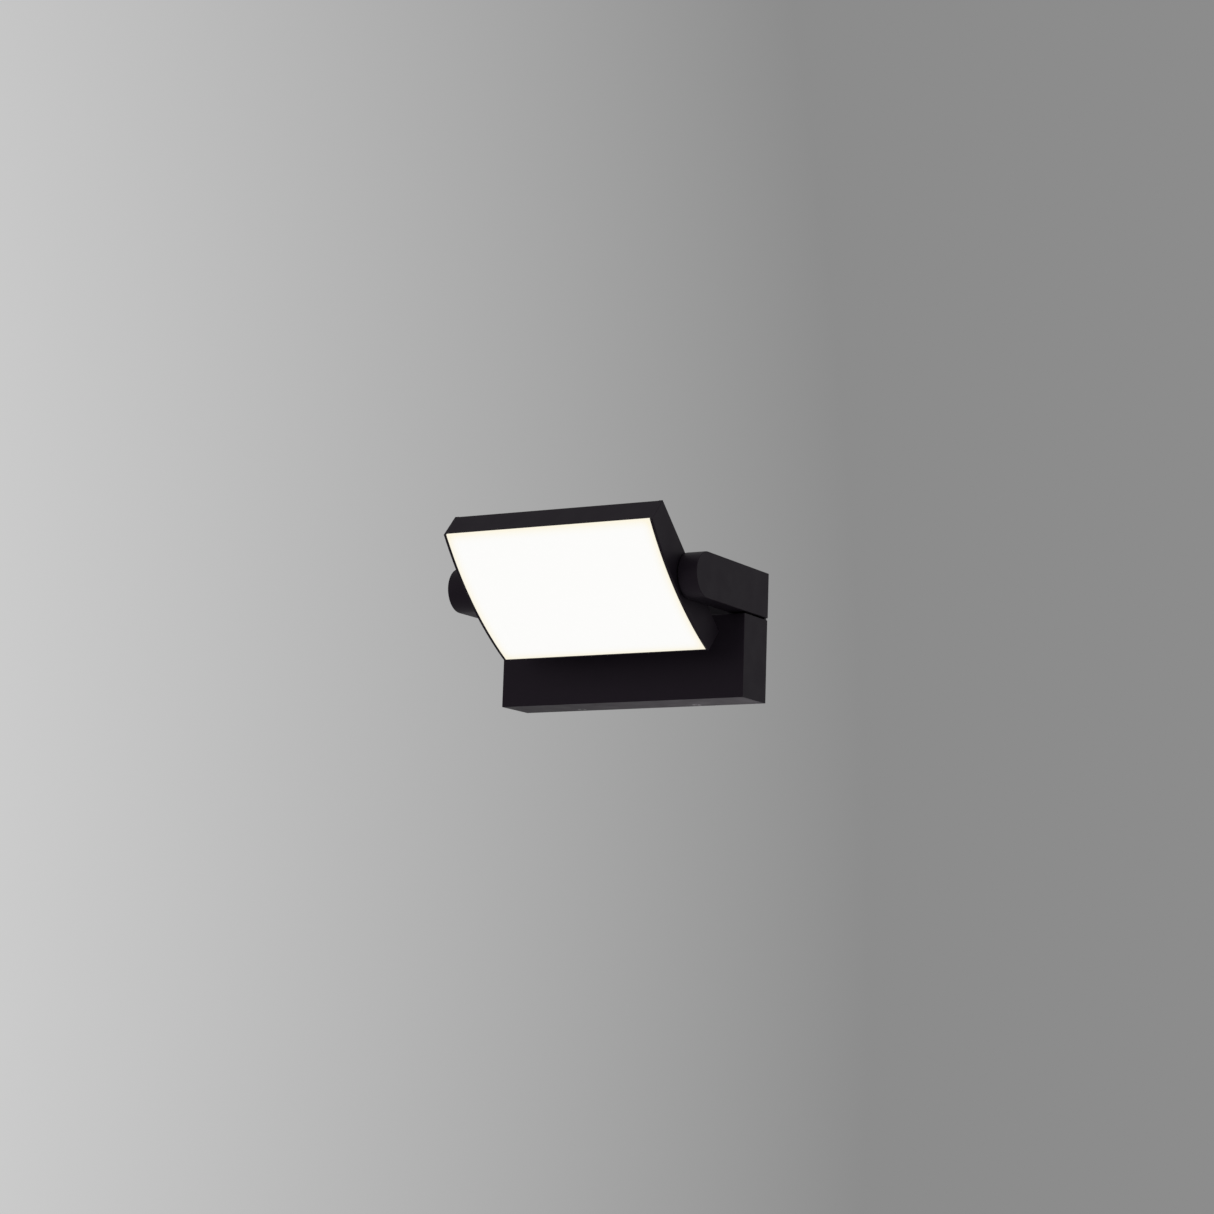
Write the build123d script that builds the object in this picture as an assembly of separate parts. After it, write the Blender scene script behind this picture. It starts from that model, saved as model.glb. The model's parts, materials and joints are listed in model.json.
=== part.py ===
from build123d import *
import math
import os

# A wall picture light: a flat wall box, two round-nosed arms above it, and a
# wide lamp head that tilts between the noses of the arms.
#
# Frame: millimetres, +Z up. X runs along the light, with +X on the right of a
# person who faces it. The wall is the plane Y = 0 and the light stands out
# towards -Y. The origin is on the wall plane, at the centre of the wall box.

# ---- driving dimensions ----

# Wall box
box_width = 220.5
box_height = 66.4
box_depth = 39.2
box_wall = 2.0

# Arms: the left one is deeper, for the friction parts of its pivot
arm_gap = 1.6
arm_height = 35.9
arm_overhang = 0.55
left_arm_overhang = 3.95
arm_wall = 2.5
pivot_reach = 102.5
foot_depth = 11.0
lid_thickness = 3.0

# Lamp head, measured from the pivot axis with the head upright
head_width = 187.0
head_above = 66.1
head_below = 62.5
head_behind = 9.2
head_ahead = 13.7
head_bulge = 7.2
head_wall = 2.5
head_edge_wall = 2.2
head_gap = 1.0
end_cap_thickness = 3.5

# Tilt: how far the lit face looks down at rest, and how far it turns from there
head_lean = 48.0
tilt_up = 93.0
tilt_down = 72.0

# Diffuser: flush with the head's front, between the end caps' rims and above a
# lip at the bottom; its top edge shows in the head's top face
rim_width = 2.3
lip_width = 1.0
diffuser_thickness = 1.5
gasket_thickness = 1.0

# Wall plate and the screws into the wall
plate_thickness = 3.0
shoulder_half = 109.4
cover_tab_half = 8.0
cover_tab_reach = 9.0
cover_tab_thickness = 2.5
blind_floor = 0.6
wall_screw_spacing = 160.0
wall_slot_length = 12.0
wall_slot_width = 5.0

# Fits
slip = 0.1
running_clearance = 0.05
thread_clearance = 0.03
edge_radius = 0.5
cap_edge_radius = 0.25

# ---- places that follow from them ----

box_half = box_width / 2
box_top = box_height / 2
box_bottom = -box_height / 2
arm_bottom = box_top + arm_gap
arm_top = arm_bottom + arm_height
nose_radius = arm_height / 2
pivot_height = arm_bottom + nose_radius
arm_outer = box_half + arm_overhang
left_arm_outer = box_half + left_arm_overhang
head_half = head_width / 2
arm_inner = head_half + head_gap
lid_back = arm_inner + lid_thickness
cavity_end = arm_outer - arm_wall
plate_half = cavity_end - 2 * slip
plate_bottom = box_bottom + box_wall + 2 * slip
plate_top = arm_top - arm_wall - 2 * slip
foot_front = -(plate_thickness + foot_depth)

# The front of the head is a shallow arc through its two front corners.
front_half_chord = (head_above + head_below) / 2
front_middle = (head_above - head_below) / 2
front_radius = (front_half_chord**2 + head_bulge**2) / (2 * head_bulge)
front_centre_y = front_radius - head_ahead - head_bulge

housing_half = head_half - end_cap_thickness
back_inside = head_behind - head_wall
seat_depth = diffuser_thickness + gasket_thickness
seat_half = head_half - rim_width
boss_depth = 5.0
boss_inner = housing_half - boss_depth
boss_half = 11.0

# Places shared by a hole and what goes through it
cover_screw_x = 53.0
cover_screw_y = -7.5
arm_screw_x = 101.0
arm_screw_rise = 8.0
lid_rear_screw_y = -8.5
lid_front_screw_y = -80.0
lid_front_screw_rise = 10.8
lid_screw_reach = 7.0
lid_post_radius = 3.2
arm_screw_reach = 10.0
lead_x = 104.0
lead_y = -22.0
lead_radius = 1.6
lead_hole_radius = 3.0
lead_lip_radius = 3.8
lead_bore_radius = 2.4
lead_lip_thickness = 1.0
entry_x = -64.0
entry_z = -17.0
entry_hole_radius = 8.0
entry_cable_radius = 4.0
entry_lip_width = 1.8
entry_lip_thickness = 1.5
earth_z = 22.0
cup_washer_radius = 4.5
cup_washer_thickness = 1.0
end_screw_x = 86.2
end_screw_rise = 45.0
end_lug_half = 4.5
end_lug_front = 0.8
end_lug_clearance = 0.5
pivot_tube_radius = 5.0
pivot_stud_radius = 4.0
stop_pin_radius = 2.0
stop_pin_orbit = 12.0
stop_pin_reach = 1.9
groove_clearance = 0.3
groove_side_clearance = 0.2
plug_radius = 14.0

# LED board
board_thickness = 1.6
board_front = back_inside - board_thickness
board_half = 81.5
board_margin = 2.0
tray_half = 82.3
tray_below = 58.0
tray_above = 62.0
tray_wall = 0.8
tray_clearance = 0.3
led_pitch = 16.0
led_columns = 10
led_rows = 7
led_width = 2.8
led_height = 3.5
led_thickness = 0.7
led_opening_radius = 3.0
board_screw_x = 64.0
board_screw_rise = 40.0
board_screw_places = [
    (x, front_middle + z)
    for x in (-board_screw_x, 0, board_screw_x)
    for z in (-board_screw_rise, board_screw_rise)
]

# Driver and terminal block
driver_left = -38.0
driver_right = 62.0
driver_height = 28.0
driver_depth = 22.0
ear_length = 8.0
ear_thickness = 3.0
ear_half_height = 9.0
driver_edge_radius = 1.5
terminal_left = -74.0
terminal_right = -50.0
terminal_low = -2.0
terminal_high = 12.0
terminal_depth = 14.0
terminal_middle = (terminal_low + terminal_high) / 2
clamp_well_radius = 2.1
clamp_well_depth = 6.0
clamp_screw_sink = 1.0
wire_hole_radius = 1.6
wire_hole_depth = 4.0
wire_height = 5.0
input_lead_rises = (6.0, 9.5)
input_lead_y = -12.0
input_lead_radius = 1.2
output_lead_y = -14.0


# ---- simple shapes ----


def block(low, high):
    """Box between its lowest and its highest corner."""
    size = [b - a for a, b in zip(low, high)]
    middle = [(a + b) / 2 for a, b in zip(low, high)]
    return Pos(*middle) * Box(*size)


def rod_x(radius, start, end, y=0.0, z=0.0):
    """Round bar along X."""
    return Pos((start + end) / 2, y, z) * Rot(0, 90, 0) * Cylinder(radius, abs(end - start))


def rod_y(radius, start, end, x=0.0, z=0.0):
    """Round bar along Y."""
    return Pos(x, (start + end) / 2, z) * Rot(90, 0, 0) * Cylinder(radius, abs(end - start))


def rod_z(radius, start, end, x=0.0, y=0.0):
    """Round bar along Z."""
    return Pos(x, y, (start + end) / 2) * Cylinder(radius, abs(end - start))


def at_pivot(piece):
    """Move a piece made about the X axis to the pivot axis, without tilting it."""
    return Pos(0, -pivot_reach, pivot_height) * piece


def in_head(piece):
    """Move a piece of the upright head to the pivot and lean it to its rest angle."""
    return Pos(0, -pivot_reach, pivot_height) * Rot(head_lean, 0, 0) * piece


def other_side(piece):
    """The same piece on the left of the light."""
    return mirror(piece, about=Plane.YZ)


def screw(radius, length, head_radius, head_height, sunk=True):
    """Socket screw along -Z, with the top of its head at the origin."""
    if sunk:
        head = Pos(0, 0, -head_height / 2) * Cone(radius, head_radius, head_height)
    else:
        head = Pos(0, 0, -head_height / 2) * Cylinder(head_radius, head_height)
    shank = Pos(0, 0, -(head_height + length) / 2) * Cylinder(radius, length - head_height)
    socket = extrude(RegularPolygon(radius * 0.75, 6), -head_height * 0.6)
    return head + shank - socket


def sunk_hole(radius, depth, head_radius, head_height):
    """Cutter for a countersunk hole along -Z from the origin."""
    mouth = Pos(0, 0, -head_height / 2) * Cone(radius, head_radius, head_height)
    return mouth + Pos(0, 0, -depth / 2) * Cylinder(radius, depth)


def facing(place, direction):
    """Location at a place, with local +Z along a direction."""
    return Plane(origin=place, z_dir=direction).location


def save(node, *pieces):
    """Write one node's solids."""
    shape = pieces[0] if len(pieces) == 1 else Compound(children=list(pieces))
    export_step(shape, f"parts/{node}.step")


# ---- wall box ----

# Countersunk screws, the holes that take them, and screws with a flat head
M4 = {"radius": 2.0, "head_radius": 3.8, "head_height": 2.2}
M3 = {"radius": 1.5, "head_radius": 2.8, "head_height": 1.6}
sunk_m4 = {"radius": 2.0 + thread_clearance, "head_radius": 3.85, "head_height": 2.25}
sunk_m3 = {"radius": 1.5 + thread_clearance, "head_radius": 2.85, "head_height": 1.65}
driver_screw = {"radius": 1.5, "head_radius": 2.75, "head_height": 1.8}
board_screw = {"radius": 1.5, "head_radius": 2.6, "head_height": 1.4}
clamp_screw = {"radius": 1.3, "head_radius": 2.0, "head_height": 1.5}
cup_screw = {"radius": 2.0, "head_radius": 3.6, "head_height": 2.4}
m4_hole = M4["radius"] + thread_clearance
m3_hole = M3["radius"] + thread_clearance


def wall_plate():
    """Steel plate on the wall: it carries the arms, the driver and the cover."""
    front = -plate_thickness
    plate = block((-plate_half, front, plate_bottom), (plate_half, 0, plate_top))
    plate += block((-shoulder_half, front, box_top + slip), (shoulder_half, 0, arm_bottom - slip))
    slot = extrude(SlotOverall(wall_slot_length, wall_slot_width), plate_thickness * 2, both=True)
    for side in (-1, 1):
        x = side * cover_screw_x
        low = (x - cover_tab_half, front - cover_tab_reach, plate_bottom)
        plate += block(low, (x + cover_tab_half, front, plate_bottom + cover_tab_thickness))
        plate -= rod_z(m4_hole, plate_bottom - 1, plate_bottom + cover_tab_thickness + 1, x, cover_screw_y)
        plate -= Pos(side * wall_screw_spacing / 2, 0, 0) * Rot(90, 0, 0) * slot
        for rise in (-arm_screw_rise, arm_screw_rise):
            place = (side * arm_screw_x, 0, pivot_height + rise)
            plate -= facing(place, (0, 1, 0)) * sunk_hole(depth=plate_thickness * 2, **sunk_m4)
    plate -= rod_y(entry_hole_radius, front - 1, 1, entry_x, entry_z)
    for x in ear_centres():
        plate -= rod_y(m3_hole, front - 1, -blind_floor, x, 0)
    plate -= rod_y(m4_hole, front - 1, -blind_floor, entry_x, earth_z)
    return plate


def box_cover():
    """Folded aluminium cover of the wall box, open towards the wall."""
    cover = block((-box_half, -box_depth, box_bottom), (box_half, 0, box_top))
    upright = cover.edges().filter_by(Axis.Z).sort_by(Axis.Y)[:2]
    front = cover.faces().sort_by(Axis.Y)[0].edges()
    sides = cover.edges().filter_by(Axis.Y)
    cover = fillet(upright + front.filter_by(Axis.X) + sides, edge_radius)
    inner = box_half - box_wall
    cover -= block((-inner, -box_depth + box_wall, box_bottom + box_wall), (inner, 1, box_top - box_wall))
    notch_half = plate_half + slip
    cover -= block((-notch_half, -plate_thickness - slip, 0), (notch_half, 1, box_top + 1))
    cover -= rod_z(lead_hole_radius, box_top - box_wall - 1, box_top + 1, lead_x, lead_y)
    for x in (-cover_screw_x, cover_screw_x):
        place = (x, cover_screw_y, box_bottom)
        cover -= facing(place, (0, 0, -1)) * sunk_hole(depth=box_wall * 2, **sunk_m4)
    return cover


def cover_screws():
    """Two countersunk screws that hold the cover from below."""
    one = screw(length=7.0, **M4)
    places = [(side * cover_screw_x, cover_screw_y, box_bottom) for side in (-1, 1)]
    return [facing(place, (0, 0, -1)) * one for place in places]


def ear_centres():
    """X of the screws in the driver's two ears."""
    return [driver_left - ear_length / 2, driver_right + ear_length / 2]


def led_driver():
    """Sealed driver with a screw ear at each end."""
    back = -plate_thickness
    half = driver_height / 2
    case = block((driver_left, back - driver_depth, -half), (driver_right, back, half))
    case = fillet(case.edges().filter_by(Axis.X), driver_edge_radius)
    for x in ear_centres():
        low = (x - ear_length / 2, back - ear_thickness, -ear_half_height)
        ear = block(low, (x + ear_length / 2, back, ear_half_height))
        case += ear - rod_y(m3_hole, back - ear_thickness - 1, 0, x, 0)
    return case


def driver_screws():
    """Flat-headed screws through the driver's ears."""
    one = screw(length=6.5, sunk=False, **driver_screw)
    front = -plate_thickness - ear_thickness - driver_screw["head_height"]
    return [facing((x, front, 0), (0, -1, 0)) * one for x in ear_centres()]


def terminal_centres():
    """X of the three ways of the terminal block."""
    pitch = (terminal_right - terminal_left) / 3
    return [terminal_left + pitch * (way + 0.5) for way in range(3)]


def terminal_block():
    """Three-way terminal block for the supply wires."""
    back = -plate_thickness
    front = back - terminal_depth
    body = block((terminal_left, front, terminal_low), (terminal_right, back, terminal_high))
    wire_y = back - wire_height
    for x in terminal_centres():
        body -= rod_y(clamp_well_radius, front - 1, front + clamp_well_depth, x, terminal_middle)
        body -= rod_z(wire_hole_radius, terminal_low - 1, terminal_low + wire_hole_depth, x, wire_y)
    return body


def terminal_screws():
    """Clamping screws of the terminal block."""
    front = -plate_thickness - terminal_depth + clamp_screw_sink
    one = screw(length=5.0, sunk=False, **clamp_screw)
    return [facing((x, front, terminal_middle), (0, -1, 0)) * one for x in terminal_centres()]


def earth_screw():
    """Earth screw with its cup washer."""
    washer_front = -plate_thickness - cup_washer_thickness
    washer = rod_y(cup_washer_radius, washer_front, -plate_thickness, entry_x, earth_z)
    front = washer_front - cup_screw["head_height"]
    one = screw(length=5.4, sunk=False, **cup_screw)
    return facing((entry_x, front, earth_z), (0, -1, 0)) * one + washer


def entry_grommet():
    """Rubber grommet where the supply cable comes out of the wall."""
    lip_radius = entry_hole_radius + entry_lip_width
    lip_front = -plate_thickness - entry_lip_thickness
    body = rod_y(entry_hole_radius, -plate_thickness, 0, entry_x, entry_z)
    body += rod_y(lip_radius, lip_front, -plate_thickness, entry_x, entry_z)
    return body - rod_y(entry_cable_radius, lip_front - 1, 1, entry_x, entry_z)


def lead_grommet():
    """Rubber sleeve that takes the lead from the box into the right arm."""
    inside_box = box_top - box_wall
    low = inside_box - lead_lip_thickness
    high = arm_bottom + arm_wall + lead_lip_thickness
    sleeve = rod_z(lead_hole_radius, low, high, lead_x, lead_y)
    sleeve += rod_z(lead_lip_radius, low, inside_box, lead_x, lead_y)
    sleeve += rod_z(lead_lip_radius, box_top, arm_bottom, lead_x, lead_y)
    return sleeve - rod_z(lead_radius + 2 * slip, low - 1, high + 1, lead_x, lead_y)


def input_leads():
    """Line and neutral, from the terminal block to the driver."""
    return [rod_x(input_lead_radius, terminal_right, driver_left, input_lead_y, z) for z in input_lead_rises]


def bend_radii(points, caps):
    """Radius for each corner: as large as its two runs allow, within a cap."""
    radii = []
    for before, corner, after, cap in zip(points, points[1:], points[2:], caps):
        run_in = Vector(corner) - Vector(before)
        run_out = Vector(after) - Vector(corner)
        half_turn = math.radians(run_in.get_angle(run_out)) / 2
        radius = 0.45 * min(run_in.length, run_out.length) / math.tan(half_turn)
        radii.append(min(radius, cap))
    return radii


def output_lead():
    """Low-voltage lead: out of the driver, up into the right arm and to its hollow pivot.

    In the arm it runs forward between the lid's screw posts with a little slack.
    """
    no_limit = box_width
    into_pivot = lead_x - (lid_back + tube_flange) - slip
    points = [
        (driver_right, output_lead_y, 0),
        (driver_right + 23, output_lead_y, 0),
        (lead_x, lead_y, driver_height / 2),
        (lead_x, lead_y, pivot_height),
        (lead_x + 0.4, -50, pivot_height - 1.7),
        (lead_x - 0.2, -78, pivot_height - 0.9),
        (lead_x, -pivot_reach, pivot_height),
        (boss_inner, -pivot_reach, pivot_height),
    ]
    radii = bend_radii(points, [no_limit] * 5 + [into_pivot])
    path = FilletPolyline(*points, radius=radii)
    section = Plane(origin=path @ 0, z_dir=path % 0) * Circle(lead_radius)
    return sweep(section, path)


# ---- arms ----


def arm_prism(inset, x_low, x_high, back):
    """Side outline of an arm, with its round nose, drawn in by an inset and extruded along X."""
    low = arm_bottom + inset
    high = arm_top - inset
    tip = -pivot_reach - nose_radius + inset
    outline = Polyline((-pivot_reach, high), (back, high), (back, low), (-pivot_reach, low))
    outline += ThreePointArc((-pivot_reach, low), (tip, pivot_height), (-pivot_reach, high))
    face = Plane.YZ.offset(x_low) * make_face(outline)
    return extrude(face, x_high - x_low, dir=(1, 0, 0))


def lid_screw_places():
    """Y and Z of the screws that hold a lid in its arm."""
    front = [(lid_front_screw_y, pivot_height + side * lid_front_screw_rise) for side in (-1, 1)]
    return [(lid_rear_screw_y, pivot_height)] + front


def arm_shell(outer):
    """Arm on the right, out to its outer face: a cast shell, open inside, with a solid foot at the plate."""
    inside = outer - arm_wall
    arm = arm_prism(0, arm_inner, outer, 0)
    arm = fillet(arm.faces().sort_by(Axis.X)[-1].edges(), edge_radius)
    arm -= arm_prism(arm_wall, arm_inner - 1, inside, foot_front)
    arm -= arm_prism(arm_wall, arm_inner - 1, lid_back, -plate_thickness)
    arm -= block((arm_inner - 1, -plate_thickness, arm_bottom - 1), (cavity_end, 1, arm_top - arm_wall))
    for y, z in lid_screw_places()[1:]:
        arm += rod_x(lid_post_radius, lid_back, inside, y, z)
    for y, z in lid_screw_places():
        arm -= rod_x(m3_hole, lid_back - 1, lid_back + lid_screw_reach, y, z)
    for rise in (-arm_screw_rise, arm_screw_rise):
        z = pivot_height + rise
        arm -= rod_y(m4_hole, -plate_thickness - arm_screw_reach, 0, arm_screw_x, z)
    return arm


def right_arm():
    """Right arm, with a hole in its underside for the lead."""
    lead_hole = rod_z(lead_hole_radius, arm_bottom - 1, arm_bottom + arm_wall + 1, lead_x, lead_y)
    return arm_shell(arm_outer) - lead_hole


def left_arm():
    """Left arm, with an opening in its outer face to reach the pivot nut."""
    opening = rod_x(plug_radius, -left_arm_outer + arm_wall + 1, -left_arm_outer - 1)
    return other_side(arm_shell(left_arm_outer)) - at_pivot(opening)


def arm_lid(pivot_hole):
    """Inner lid of an arm, as on the right, which carries the pivot."""
    lid = arm_prism(arm_wall + slip, arm_inner, lid_back, -plate_thickness - slip)
    lid -= at_pivot(rod_x(pivot_hole, arm_inner - 1, lid_back + 1))
    for y, z in lid_screw_places():
        lid -= facing((arm_inner, y, z), (-1, 0, 0)) * sunk_hole(depth=lid_thickness * 2, **sunk_m3)
    return lid


def stop_pin_offset():
    """Y and Z of the stop pin from the pivot: it comes up to the ends of its groove at both limits."""
    angle = math.radians(180 + head_lean + (tilt_down - tilt_up) / 2)
    return stop_pin_orbit * math.cos(angle), stop_pin_orbit * math.sin(angle)


def right_arm_lid():
    """Right lid, with a hole for the stop pin."""
    y, z = stop_pin_offset()
    pin_hole = rod_x(stop_pin_radius, arm_inner - 1, lid_back + 1, y, z)
    return arm_lid(pivot_tube_radius) - at_pivot(pin_hole)


def left_arm_lid():
    """Left lid, with a wider hole for the pivot bush."""
    return other_side(arm_lid(stud_bush_radius))


def lid_screws():
    """Three countersunk screws in each lid."""
    one = screw(length=8.0, **M3)
    right = [facing((arm_inner, y, z), (-1, 0, 0)) * one for y, z in lid_screw_places()]
    return right + [other_side(each) for each in right]


def arm_screws():
    """Two screws from the back of the wall plate into each arm."""
    one = screw(length=12.0, **M4)
    rises = (-arm_screw_rise, arm_screw_rise)
    places = [(side * arm_screw_x, 0, pivot_height + rise) for side in (-1, 1) for rise in rises]
    return [facing(place, (0, 1, 0)) * one for place in places]


# ---- pivots ----

tube_flange = 1.5
bush_flange = 0.9
bush_wall = 1.5
bush_flange_radius = 9.0
stud_bush_radius = pivot_stud_radius + 2.0
stud_bush_flange = 1.0
stud_head_radius = 6.5
stud_head_height = 2.0
stud_tail = 0.6
friction_radius = 11.0
friction_thickness = 1.5
spring_base_radius = 10.0
spring_tip_radius = 6.0
spring_thickness = 1.6
nut_radius = 7.0
nut_height = 5.0
stud_hole = pivot_stud_radius + thread_clearance


def right_pivot_tube():
    """Hollow pivot in the right arm, which the lead runs through."""
    tube = rod_x(pivot_tube_radius, boss_inner, lid_back + tube_flange)
    tube += rod_x(bush_flange_radius, lid_back, lid_back + tube_flange)
    return at_pivot(tube - rod_x(lead_bore_radius, boss_inner - 1, lid_back + tube_flange + 1))


def right_pivot_bush():
    """Plain bush in the head's right end cap; its flange keeps the head off the arm."""
    inner = pivot_tube_radius + running_clearance
    bush = rod_x(inner + bush_wall, boss_inner, head_half + bush_flange)
    bush += rod_x(bush_flange_radius, head_half, head_half + bush_flange)
    return in_head(bush - rod_x(inner, boss_inner - 1, arm_inner))


def stop_pin():
    """Pin in the right arm that stops the tilt at both ends."""
    y, z = stop_pin_offset()
    return at_pivot(rod_x(stop_pin_radius, head_half - stop_pin_reach, lid_back, y, z))


def left_pivot_stud():
    """Stud fixed in the head's left end cap."""
    stud_end = lid_back + stud_bush_flange + friction_thickness + spring_thickness + nut_height + stud_tail
    stud = rod_x(pivot_stud_radius, -boss_inner, -stud_end)
    return in_head(stud + rod_x(stud_head_radius, -boss_inner + stud_head_height, -boss_inner))


def left_pivot_bush():
    """Flanged bush in the left lid, which the stud turns in."""
    bush = rod_x(stud_bush_radius, -arm_inner, -lid_back - stud_bush_flange)
    bush += rod_x(bush_flange_radius, -lid_back, -lid_back - stud_bush_flange)
    bore = rod_x(pivot_stud_radius + running_clearance, -arm_inner + 1, -lid_back - 5)
    return at_pivot(bush - bore)


def left_thrust_washer():
    """Washer between the head and the left arm."""
    washer = rod_x(bush_flange_radius, -head_half, -head_half - bush_flange)
    return in_head(washer - rod_x(stud_hole, -head_half + 1, -arm_inner - 1))


def friction_disc():
    """Fibre disc that holds the head at any angle."""
    start = lid_back + stud_bush_flange
    disc = rod_x(friction_radius, -start, -start - friction_thickness)
    return in_head(disc - rod_x(stud_hole, -start + 1, -start - friction_thickness - 1))


def spring_washer():
    """Conical spring washer that presses the disc on the bush."""
    start = lid_back + stud_bush_flange + friction_thickness
    cone = Cone(spring_base_radius, spring_tip_radius, spring_thickness)
    washer = Pos(-start - spring_thickness / 2, 0, 0) * Rot(0, -90, 0) * cone
    return in_head(washer - rod_x(stud_hole, -start + 1, -start - spring_thickness - 1))


def pivot_nut():
    """Lock nut on the stud."""
    start = lid_back + stud_bush_flange + friction_thickness + spring_thickness
    nut = Pos(-start, 0, 0) * Rot(0, -90, 0) * extrude(RegularPolygon(nut_radius, 6), nut_height)
    return in_head(nut - rod_x(stud_hole, -start + 1, -start - nut_height - 1))


def left_pivot_cover():
    """Round plug that closes the opening in the left nose, flush with it."""
    plug = rod_x(plug_radius - slip, -left_arm_outer, -left_arm_outer + arm_wall)
    return at_pivot(fillet(plug.edges().sort_by(Axis.X)[0], cap_edge_radius))


# ---- lamp head, made upright about the pivot axis ----


def front_cylinder(depth):
    """Large cylinder whose front is the head's lit face, moved back by a depth."""
    return rod_x(front_radius - depth, -box_width, box_width, front_centre_y, front_middle)


def bowed_block(depth, x_low, x_high, z_low, z_high, back):
    """Block with a flat back and the bowed front of the head, moved back by a depth."""
    space = block((x_low, -2 * head_ahead - head_bulge, z_low), (x_high, back, z_high))
    return space & front_cylinder(depth)


def in_front_of(depth, x_low, x_high, z_low, z_high):
    """Everything in front of the bowed face at a depth."""
    space = block((x_low, -3 * head_ahead, z_low), (x_high, 0, z_high))
    return space - front_cylinder(depth)


def bowed_sheet(near, far, x_half, z_low, z_high):
    """Bowed sheet between two depths behind the lit face."""
    sheet = bowed_block(near, -x_half, x_half, z_low, z_high, 0)
    return sheet - front_cylinder(far)


def diffuser_room(x_low, x_high):
    """Cutter for the diffuser, open at the top, and for the gasket behind it, which stops below the top."""
    low = -head_below + lip_width
    room = in_front_of(diffuser_thickness, x_low, x_high, low, head_above + 1)
    return room + in_front_of(seat_depth, x_low, x_high, low, head_above - lip_width)


def head_housing():
    """Extruded aluminium back of the head, open at the front and at both ends."""
    body = bowed_block(0, -housing_half, housing_half, -head_below, head_above, head_behind)
    rear = body.edges().filter_by(Axis.X).sort_by(Axis.Y)[-2:]
    body = fillet(rear, edge_radius)
    pocket_low = -head_below + head_edge_wall
    pocket_high = head_above - head_edge_wall
    body -= block((-head_half, -3 * head_ahead, pocket_low), (head_half, back_inside, pocket_high))
    body -= diffuser_room(-head_half, head_half)
    for place in end_screw_places():
        body -= facing(place, (0, 1, 0)) * sunk_hole(depth=head_wall * 2, **sunk_m3)
    for x, z in board_screw_places:
        body -= rod_y(m3_hole, 0, head_behind - blind_floor, x, z)
    return body


def end_screw_places():
    """Where the end cap screws enter the back of the head."""
    return [(side * end_screw_x, head_behind, rise * end_screw_rise) for side in (-1, 1) for rise in (-1, 1)]


def end_cap():
    """Right end cap: it closes the head, carries the pivot and holds the end of the diffuser."""
    cap = bowed_block(0, housing_half, head_half, -head_below, head_above, head_behind)
    cap = fillet(cap.faces().sort_by(Axis.X)[-1].edges(), cap_edge_radius)
    cap -= diffuser_room(housing_half - 1, seat_half)
    back = back_inside - slip
    cap += block((boss_inner, -boss_half, -boss_half), (housing_half, back, boss_half))
    for rise in (-end_screw_rise, end_screw_rise):
        low = (tray_half + end_lug_clearance, end_lug_front, rise - end_lug_half)
        lug = block(low, (housing_half, back, rise + end_lug_half))
        cap += lug - rod_y(m3_hole, end_lug_front - 1, head_behind, end_screw_x, rise)
    return cap


def right_end_cap():
    """Right end cap, with the bore for the bush and the groove for the stop pin."""
    bore = rod_x(pivot_tube_radius + running_clearance + bush_wall, boss_inner - 1, head_half + 1)
    reach = (tilt_up + tilt_down) / 2
    middle_line = CenterArc((0, 0), stop_pin_orbit, 180 - reach, 2 * reach)
    track = SlotArc(middle_line, 2 * (stop_pin_radius + groove_side_clearance))
    groove_depth = stop_pin_reach + groove_clearance
    groove = extrude(Plane.YZ.offset(head_half - groove_depth) * track, groove_depth + 1, dir=(1, 0, 0))
    return in_head(end_cap() - bore - groove)


def left_end_cap():
    """Left end cap, with the hole for the stud."""
    hole = rod_x(pivot_stud_radius, -boss_inner + 1, -head_half - 1)
    return in_head(other_side(end_cap()) - hole)


def end_cap_screws():
    """Four countersunk screws through the back of the head into the end caps."""
    one = screw(length=7.5, **M3)
    return [in_head(facing(place, (0, 1, 0)) * one) for place in end_screw_places()]


def diffuser():
    """Bowed opal diffuser."""
    low = -head_below + lip_width + slip
    return in_head(bowed_sheet(0, diffuser_thickness, seat_half - slip, low, head_above - slip))


def diffuser_gasket():
    """Silicone frame that bonds the edge of the diffuser to the head."""
    low = -head_below + lip_width + slip
    high = head_above - lip_width - slip
    frame = bowed_sheet(diffuser_thickness, seat_depth, seat_half - slip, low, high)
    opening_low = (-housing_half, -3 * head_ahead, -head_below + head_edge_wall)
    return in_head(frame - block(opening_low, (housing_half, 0, head_above - head_edge_wall)))


def led_places():
    """X and Z of the LEDs, without the ones that the connector stands on."""
    columns = [led_pitch * (column - (led_columns - 1) / 2) for column in range(led_columns)]
    rows = [front_middle + led_pitch * (row - (led_rows - 1) / 2) for row in range(led_rows)]
    return [(x, z) for x in columns for z in rows if not (x > connector_far and abs(z) < led_pitch / 2)]


def led_board():
    """Aluminium-backed LED board."""
    low = (-board_half, board_front, -tray_below + board_margin)
    board = block(low, (board_half, back_inside, tray_above - board_margin))
    for x, z in board_screw_places:
        board -= rod_y(m3_hole, board_front - 1, back_inside + 1, x, z)
    return in_head(board)


def led_chips():
    """White LED packages."""
    package = block((-led_width / 2, -led_thickness, -led_height / 2), (led_width / 2, 0, led_height / 2))
    return [in_head(Pos(x, board_front, z) * package) for x, z in led_places()]


connector_near = 74.0
connector_far = 64.0
connector_half = 4.5
connector_front = -2.2
connector_edge_radius = 0.6
connector_clearance = 0.5


def led_connector():
    """Wire connector on the LED board."""
    low = (connector_far, connector_front, -connector_half)
    body = block(low, (connector_near, board_front, connector_half))
    return in_head(fillet(body.edges().filter_by(Axis.Y), connector_edge_radius))


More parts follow.
